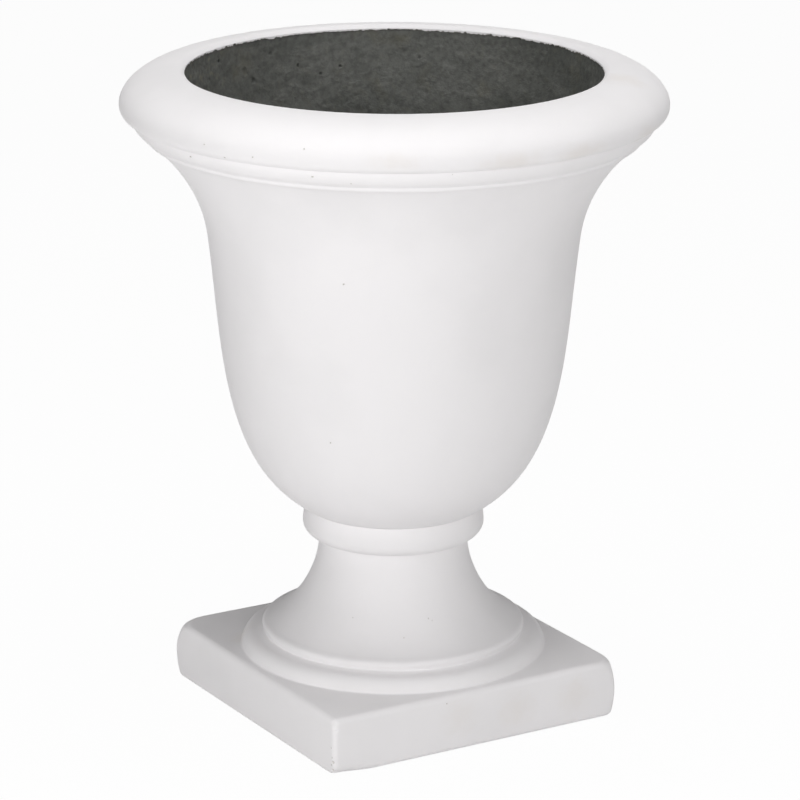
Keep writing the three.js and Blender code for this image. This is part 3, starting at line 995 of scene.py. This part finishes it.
def makePedestalFace():
    look, shape = pedestalFaceLook, pedestalShape
    angles = plinthAngles(shape, look)
    rings = squareRings(shape, look, angles)
    edgeRing = rings[-1]
    start = shape["torusRadius"] + 3.0
    top = shape["plinthTop"]
    outline = np.concatenate([[(start + 6, top)], *pedestalOutside(shape)])
    outline = soften(outline, look["creaseReach"])
    outline = outline[outline[:, 0] <= start]
    rows = thin(outline, 3.0, 6)
    inner = ring(rows[0][0], rows[0][1], angles)
    for share in np.linspace(0, 1, 14)[1:-1]:
        rings.append(edgeRing * (1 - share) + inner * share)
    turned = respace(np.concatenate(pedestalOutside(shape)[:3]), 10)
    back = inset(turned, look["thickness"])[::-1]
    back = back[back[:, 1] > top]
    neck = shape["neckRadius"] - look["thickness"]
    ceiling = top - look["thickness"]
    collar = [(neck, shape["collarTop"][1]), (neck, shape["neckFoot"] + 6)]
    rings += ringsOf([*rows, *collar, *back, (back[-1][0], ceiling)], angles)
    for level in (ceiling, ceiling / 2, 6, 4.5, 3, shape["faceFoot"]):
        rings.append(plinthRing(shape, angles, level, look["thickness"] + footInset(shape, level)))
    piece = ringPiece("pedestalFace", rings)

    points, normals = pointsOf(piece), normalsOf(piece)
    shift = look["waves"] * (lumps(points, 60, 11, 2) + 0.3 * lumps(points, 12, 12, 2)) - 0.12
    fadeTop = 1 - ramp(points[:, 2], 188, 193)
    fadeFoot = ramp(points[:, 2], 1.2, 6)
    movePoints(piece, wearFoot(points + normals * (shift * fadeTop * fadeFoot)[:, None]))
    mark(piece, "raw", np.zeros(len(points)))
    sinkPits(piece, pitsOn(outline, look["pits"]) + look["chips"], 4.0, 5, 51)
    smoothFaces(piece, 60)
    material = whiteFace("whiteFacePedestal", look["stains"])
    finishPiece(piece, material, "face_layer", planter, "pedestal_face")


pedestalBackingLook = {
    "sideStep": 4.0,
    "cornerSteps": 6,
    "depth": 3.3,
    "wall": 10.0,
    "lumpDepth": 0.6,
    "deckRadius": 66.7,
    "deckTop": 193.0,
    "deckUnder": 179.0,
    "stemInside": 59.9,
    "boltHole": 7.0,
    "drainRadius": 10.0,
    "drainOffset": 40.0,
}


def makePedestalBacking():
    look, shape = pedestalBackingLook, pedestalShape
    angles = plinthAngles(shape, look)
    turned = respace(np.concatenate(pedestalOutside(shape)[:3]), 6)
    outer = [p for p in inset(turned, look["depth"]) if p[1] > shape["plinthTop"]]
    inner = [p for p in inset(turned, look["wall"]) if p[1] > shape["plinthTop"] - 8][::-1]
    depth, top = look["depth"], shape["plinthTop"]
    ceiling = top - look["wall"]
    levels = [0, 1.5, 3, 4.5, 6, *np.linspace(10, top - depth, 8)]
    rings = [plinthRing(shape, angles, z, depth + footInset(shape, z)) for z in levels]
    hole, deckTop, deckUnder = look["boltHole"], look["deckTop"], look["deckUnder"]
    deck = [(look["deckRadius"], deckTop), (hole, deckTop), (hole, deckUnder)]
    rings += ringsOf([(outer[0][0], top - depth), *outer, *deck], angles)
    firstInside = sum(len(r) for r in rings)
    inside = look["stemInside"]
    under = [(r, deckUnder) for r in np.linspace(hole + 6, inside - 3, 12)]
    stem = [p for p in inner if p[0] < 128]
    stem = thin(soften(np.array([(inside, deckUnder - 5), *stem]), 2.0), 4, 9)
    rings += ringsOf([*under, (inside, deckUnder - 3), *stem, (stem[-1][0], ceiling)], angles)
    last = rings[-1]
    edge = plinthRing(shape, angles, ceiling, look["wall"] + 2)
    for share in np.linspace(0, 1, 8)[1:]:
        rings.append(last * (1 - share) + edge * share)
    for level in np.linspace(ceiling - 2, 0, 12):
        rings.append(plinthRing(shape, angles, level, look["wall"]))
    piece = ringPiece("pedestalBacking", rings)

    points, normals = pointsOf(piece), normalsOf(piece)
    isInside = np.arange(len(points)) >= firstInside
    rough = look["lumpDepth"] * (lumps(points, 24, 14, 3) + 0.5 * lumps(points, 9, 15, 3)) - 0.3
    footFade = ramp(points[:, 2], 0, 5)
    radius = np.hypot(points[:, 0], points[:, 1])
    boltFade = ramp(radius, 24, 34)
    movePoints(piece, wearFoot(points + normals * (rough * isInside * footFade * boltFade)[:, None]))
    drill(piece, look["drainRadius"], deckUnder - 3, deckTop + 2, look["drainOffset"])
    smoothFaces(piece, 50)
    finishPiece(piece, rawBacking("rawBackingPedestal"), "raw_backing", planter, "pedestal_backing")


# Bolt, washers, nut, seals and plug

fittingLook = {
    "columns": 96,
    # inner and outer radius, foot, top and rounded edge (mm)
    "boltSeal": (6.3, 18, 208, 211, 1.0),
    "boltWasher": (6.3, 16, 211, 213.5, 0.5),
    "deckWasher": (6.3, 22, 176.5, 179, 0.5),
    "seatSeal": (53, 64.7, 193, 195, 0.6),
}


def roundedSection(inner, outer, low, high, edge):
    # a ring's section with rounded edges, run anticlockwise
    corners = [(outer - edge, low + edge, -1), (outer - edge, high - edge, 0)]
    corners += [(inner + edge, high - edge, 1), (inner + edge, low + edge, 2)]
    return np.concatenate([quarterArc(r, z, edge, edge, q, 4) for r, z, q in corners])


def makeRingPiece(name, material, slotName, node):
    angles = evenAngles(fittingLook["columns"])
    piece = ringPiece(name, ringsOf(roundedSection(*fittingLook[name]), angles))
    smoothFaces(piece, 50)
    finishPiece(piece, material, slotName, planter, node)


def hexReach(flat, angles):
    sixth = math.pi / 3
    return flat / 2 / np.cos(np.mod(angles, sixth) - sixth / 2)


def hexRings(low, high, flat, angles, chamferFoot):
    # a hexagon whose corners are turned off at 30 degrees, as on forged bolts
    face = flat / 2 * 0.95
    reach = hexReach(flat, angles)
    drop = np.maximum(reach - face, 0) * math.tan(math.radians(30))
    foot = low + drop if chamferFoot else np.full(len(angles), low)
    bottom = ring(face if chamferFoot else flat / 2 - 0.3, low, angles)
    return [bottom, *ringsOf([(reach, foot), (reach, high - drop), (face, high)], angles)]


def threadRadius(level, angles, radius, pitch):
    turnShare = np.mod(level / pitch - angles / (2 * math.pi), 1)
    return radius - 0.54 * pitch * np.abs(turnShare * 2 - 1)


boltLook = {
    "radius": 5.98,
    "pitch": 1.75,
    "end": 161.5,
    "threadTop": 184.0,
    "headFoot": 213.5,
    "headTop": 221.0,
    "headWidth": 18.0,
    "dishRadius": 6.9,
    "dishDepth": 0.25,
    "nutFoot": 166.5,
    "nutTop": 176.5,
    "nutBevel": 0.9,
    "nutPlay": 0.34,
}


def makeBolt(steel):
    look = boltLook
    angles = evenAngles(96)
    rings = [ring(3.6, look["end"], angles)]
    for level in np.arange(look["end"] + 0.2, look["threadTop"], 0.175):
        limit = min(look["radius"], 3.8 + (level - look["end"]) * 1.6)
        radius = np.minimum(threadRadius(level, angles, look["radius"], look["pitch"]), limit)
        rings.append(ring(radius, level, angles))
    rings += ringsOf([(look["radius"], look["threadTop"] + 1), (look["radius"], look["headFoot"])], angles)
    rings += hexRings(look["headFoot"], look["headTop"], look["headWidth"], angles, False)
    dish, headTop = look["dishRadius"], look["headTop"]
    rings += ringsOf([(dish, headTop), (dish - 0.4, headTop - look["dishDepth"])], angles)
    piece = ringPiece("centreBolt", rings, closed=False)
    smoothFaces(piece, 28)
    finishPiece(piece, steel, "fixing_steel", planter, "centre_bolt")


def makeNut(steel):
    look = boltLook
    angles = evenAngles(96)
    rings = hexRings(look["nutFoot"], look["nutTop"], look["headWidth"], angles, True)
    foot, top, bevel = look["nutFoot"], look["nutTop"], look["nutBevel"]
    bore = look["radius"] + look["nutPlay"]
    section = [(bore + bevel, top), (bore, top - bevel), (bore, foot + bevel), (bore + bevel, foot)]
    rings += ringsOf(section, angles)
    piece = ringPiece("clampNut", rings)
    smoothFaces(piece, 28)
    finishPiece(piece, steel, "fixing_steel", planter, "clamp_nut")


plugLook = {
    "offset": 40.0,
    "radius": 9.7,
    "taper": 1.2,
    "foot": 197.0,
    "floor": 208.0,
    "flangeRadius": 14.0,
    "flangeTop": 211.0,
    "tabWidth": 15.0,
    "tabTop": 221.0,
    "tabThickness": 4.0,
}


def makePlug(rubber):
    look = plugLook
    angles = evenAngles(96)
    lowRadius = look["radius"] - look["taper"]
    middle = (look["foot"] + look["floor"]) / 2
    section = np.concatenate([
        quarterArc(lowRadius - 0.8, look["foot"] + 0.8, 0.8, 0.8, -1, 4),
        [(look["radius"], middle), (look["radius"], look["floor"] - 0.4)],
        [(look["radius"] + 0.3, look["floor"])],
        quarterArc(look["flangeRadius"] - 0.6, look["floor"] + 0.6, 0.6, 0.6, -1, 4),
        quarterArc(look["flangeRadius"] - 1.2, look["flangeTop"] - 1.2, 1.2, 1.2, 0, 6),
        [(look["flangeRadius"] - 3.2, look["flangeTop"] - 0.15), (9.6, look["flangeTop"] - 0.15)],
        [(9.0, look["flangeTop"])],
    ])
    piece = ringPiece("drainPlug", ringsOf(section, angles), closed=False)

    # the pull tab: a rounded blade that stands on the flange
    work = bmesh.new()
    half, height, curve = look["tabWidth"] / 2, look["tabTop"] - look["flangeTop"], 5.0
    outline = [(-half - 0.7, -0.6), (half + 0.7, -0.6), (half, 1.2)]
    arc = quarterArc(half - curve, height - curve, curve, curve, 0, 8)
    outline += [tuple(p) for p in arc] + [(-x, z) for x, z in arc[::-1]] + [(-half, 1.2)]
    loop = [work.verts.new((x * mm, -look["tabThickness"] / 2 * mm, z * mm)) for x, z in outline]
    blade = work.faces.new(loop)
    grown = bmesh.ops.extrude_face_region(work, geom=[blade])["geom"]
    moved = [v for v in grown if isinstance(v, bmesh.types.BMVert)]
    bmesh.ops.translate(work, verts=moved, vec=(0, look["tabThickness"] * mm, 0))
    bmesh.ops.translate(work, verts=work.verts, vec=(0, 0, look["flangeTop"] * mm))
    bmesh.ops.recalc_face_normals(work, faces=work.faces)
    rims = [e for e in work.edges if e.calc_face_angle(0) > 1.2]
    bmesh.ops.bevel(work, geom=rims, offset=1.3 * mm, segments=4, profile=0.5, affect="EDGES")
    work.from_mesh(piece.data)
    work.to_mesh(piece.data)
    work.free()
    smoothFaces(piece, 50)
    movePoints(piece, pointsOf(piece) + np.array([look["offset"], 0, 0]))
    finishPiece(piece, rubber, "plug_rubber", "plug", "drain_plug")


def makeFittings():
    steel = zincSteel("zincPlatedSteel")
    sealRubber = blackRubber("sealRubber", 0.5)
    makeBolt(steel)
    makeNut(steel)
    makeRingPiece("boltSeal", sealRubber, "seal_rubber", "bolt_seal")
    makeRingPiece("boltWasher", steel, "fixing_steel", "bolt_washer")
    makeRingPiece("deckWasher", steel, "fixing_steel", "deck_washer")
    makeRingPiece("seatSeal", sealRubber, "seal_rubber", "seat_seal")
    makePlug(blackRubber("plugRubber", 0.3))


# Camera, floor and lamps

cameraLook = {
    "lens": 174.24,
    "distance": 3.601,
    "azimuth": 31.05,
    "pitch": 16.89,
    "aimLevel": 0.2941,
    "sideShift": 0.00597,
    "roll": 0.20,
}


def direction(turn, tilt):
    return Vector((math.sin(turn) * math.cos(tilt), math.cos(turn) * math.cos(tilt), math.sin(tilt)))


def makeCamera():
    look = cameraLook
    turn, pitch, roll = (math.radians(look[k]) for k in ("azimuth", "pitch", "roll"))
    forward = direction(turn, -pitch)
    right = forward.cross(Vector((0, 0, 1))).normalized()
    up = right.cross(forward)
    aim = Vector((0, 0, look["aimLevel"])) + right * look["sideShift"]
    rolledRight = right * math.cos(roll) + up * math.sin(roll)
    rolledUp = up * math.cos(roll) - right * math.sin(roll)
    axes = Matrix((rolledRight, rolledUp, -forward)).transposed()
    camera = bpy.data.objects.new("camera", bpy.data.cameras.new("camera"))
    camera.data.lens = look["lens"]
    camera.data.sensor_width = 36
    camera.data.clip_end = 50
    camera.matrix_world = Matrix.Translation(aim - forward * look["distance"]) @ axes.to_4x4()
    bpy.context.scene.collection.objects.link(camera)
    bpy.context.scene.camera = camera


# each lamp: azimuth round the planter from the camera (degrees, + to the right), elevation,
# distance, size, power and the level that it aims at
lampLook = {
    "front": (0, 8, 2.4, 1.4, 12.6, 0.30),
    "near": (0, 14, 1.6, 1.0, 4.2, 0.55),
    "left": (-50, 10, 2.4, 1.6, 19.0, 0.30),
    "right": (50, 10, 2.4, 1.6, 2.2, 0.30),
    "highRight": (60, 60, 2.4, 1.8, 4.6, 0.35),
    "sideRight": (80, 12, 2.4, 1.8, 11.0, 0.35),
    "top": (0, 88, 2.2, 1.8, 32.5, 0.40),
}
floorLook = {"colour": (0.86, 0.86, 0.86), "seenWhite": 0.97, "worldLevel": 0.02}


def makeLamps():
    for name, (azimuth, elevation, distance, size, power, aimLevel) in lampLook.items():
        turn = math.radians(cameraLook["azimuth"] + 180 - azimuth)
        toLamp = direction(turn, math.radians(elevation))
        lamp = bpy.data.lights.new(name, "AREA")
        lamp.shape = "DISK"
        lamp.size = size
        lamp.energy = power
        holder = bpy.data.objects.new(name, lamp)
        holder.location = Vector((0, 0, aimLevel)) + toLamp * distance
        holder.rotation_mode = "QUATERNION"
        holder.rotation_quaternion = toLamp.to_track_quat("Z", "Y")
        bpy.context.scene.collection.objects.link(holder)


def seenDirectly(tree):
    # 1 for rays from the camera or a mirror and through glass, which see the studio as white
    path = addNode(tree, "LightPath").outputs
    seen = calculate(tree, "MAXIMUM", path["Is Camera Ray"], path["Is Glossy Ray"])
    return calculate(tree, "MAXIMUM", seen, path["Is Transmission Ray"])


def makeWorld():
    world = bpy.data.worlds.new("studio")
    world.use_nodes = True
    bpy.context.scene.world = world
    tree = world.node_tree
    tree.nodes.clear()
    lit = addNode(tree, "Background", None, Color=(1, 1, 1, 1), Strength=floorLook["worldLevel"])
    shown = addNode(tree, "Background", None, Color=(1, 1, 1, 1), Strength=1.0)
    seen = seenDirectly(tree)
    mixed = addNode(tree, "MixShader", None, i0=seen, i1=lit.outputs[0], i2=shown.outputs[0])
    addNode(tree, "OutputWorld", Surface=mixed.outputs[0])


def makeFloor():
    mesh = bpy.data.meshes.new("floor")
    reach = 30.0
    corners = [(-reach, -reach, 0), (reach, -reach, 0), (reach, reach, 0), (-reach, reach, 0)]
    mesh.from_pydata(corners, [], [(0, 1, 2, 3)])
    floor = bpy.data.objects.new("floor", mesh)
    bpy.context.scene.collection.objects.link(floor)
    material = bpy.data.materials.new("paleFloor")
    material.use_nodes = True
    tree = material.node_tree
    tree.nodes.clear()
    matt = addNode(tree, "BsdfDiffuse", None, Color=(*floorLook["colour"], 1))
    white = addNode(tree, "Emission", None, Color=(1, 1, 1, 1), Strength=1.0)
    share = calculate(tree, "MULTIPLY", seenDirectly(tree), floorLook["seenWhite"])
    mixed = addNode(tree, "MixShader", None, i0=share, i1=matt.outputs[0], i2=white.outputs[0])
    clear = addNode(tree, "BsdfTransparent")
    under = addNode(tree, "NewGeometry").outputs["Backfacing"]
    sided = addNode(tree, "MixShader", None, i0=under, i1=mixed.outputs[0], i2=clear.outputs[0])
    addNode(tree, "OutputMaterial", Surface=sided.outputs[0])
    mesh.materials.append(material)


makeCamera()
makeFloor()
makeWorld()
makeLamps()
bpy.context.scene.view_settings.view_transform = "Standard"
print("camera, floor and lamps are in place")
makeBowlFace()
print("bowl's face is made")
makeBowlBacking()
print("bowl's backing is made")
makePedestalFace()
print("pedestal's face is made")
makePedestalBacking()
print("pedestal's backing is made")
makeFittings()
print("fittings are made")
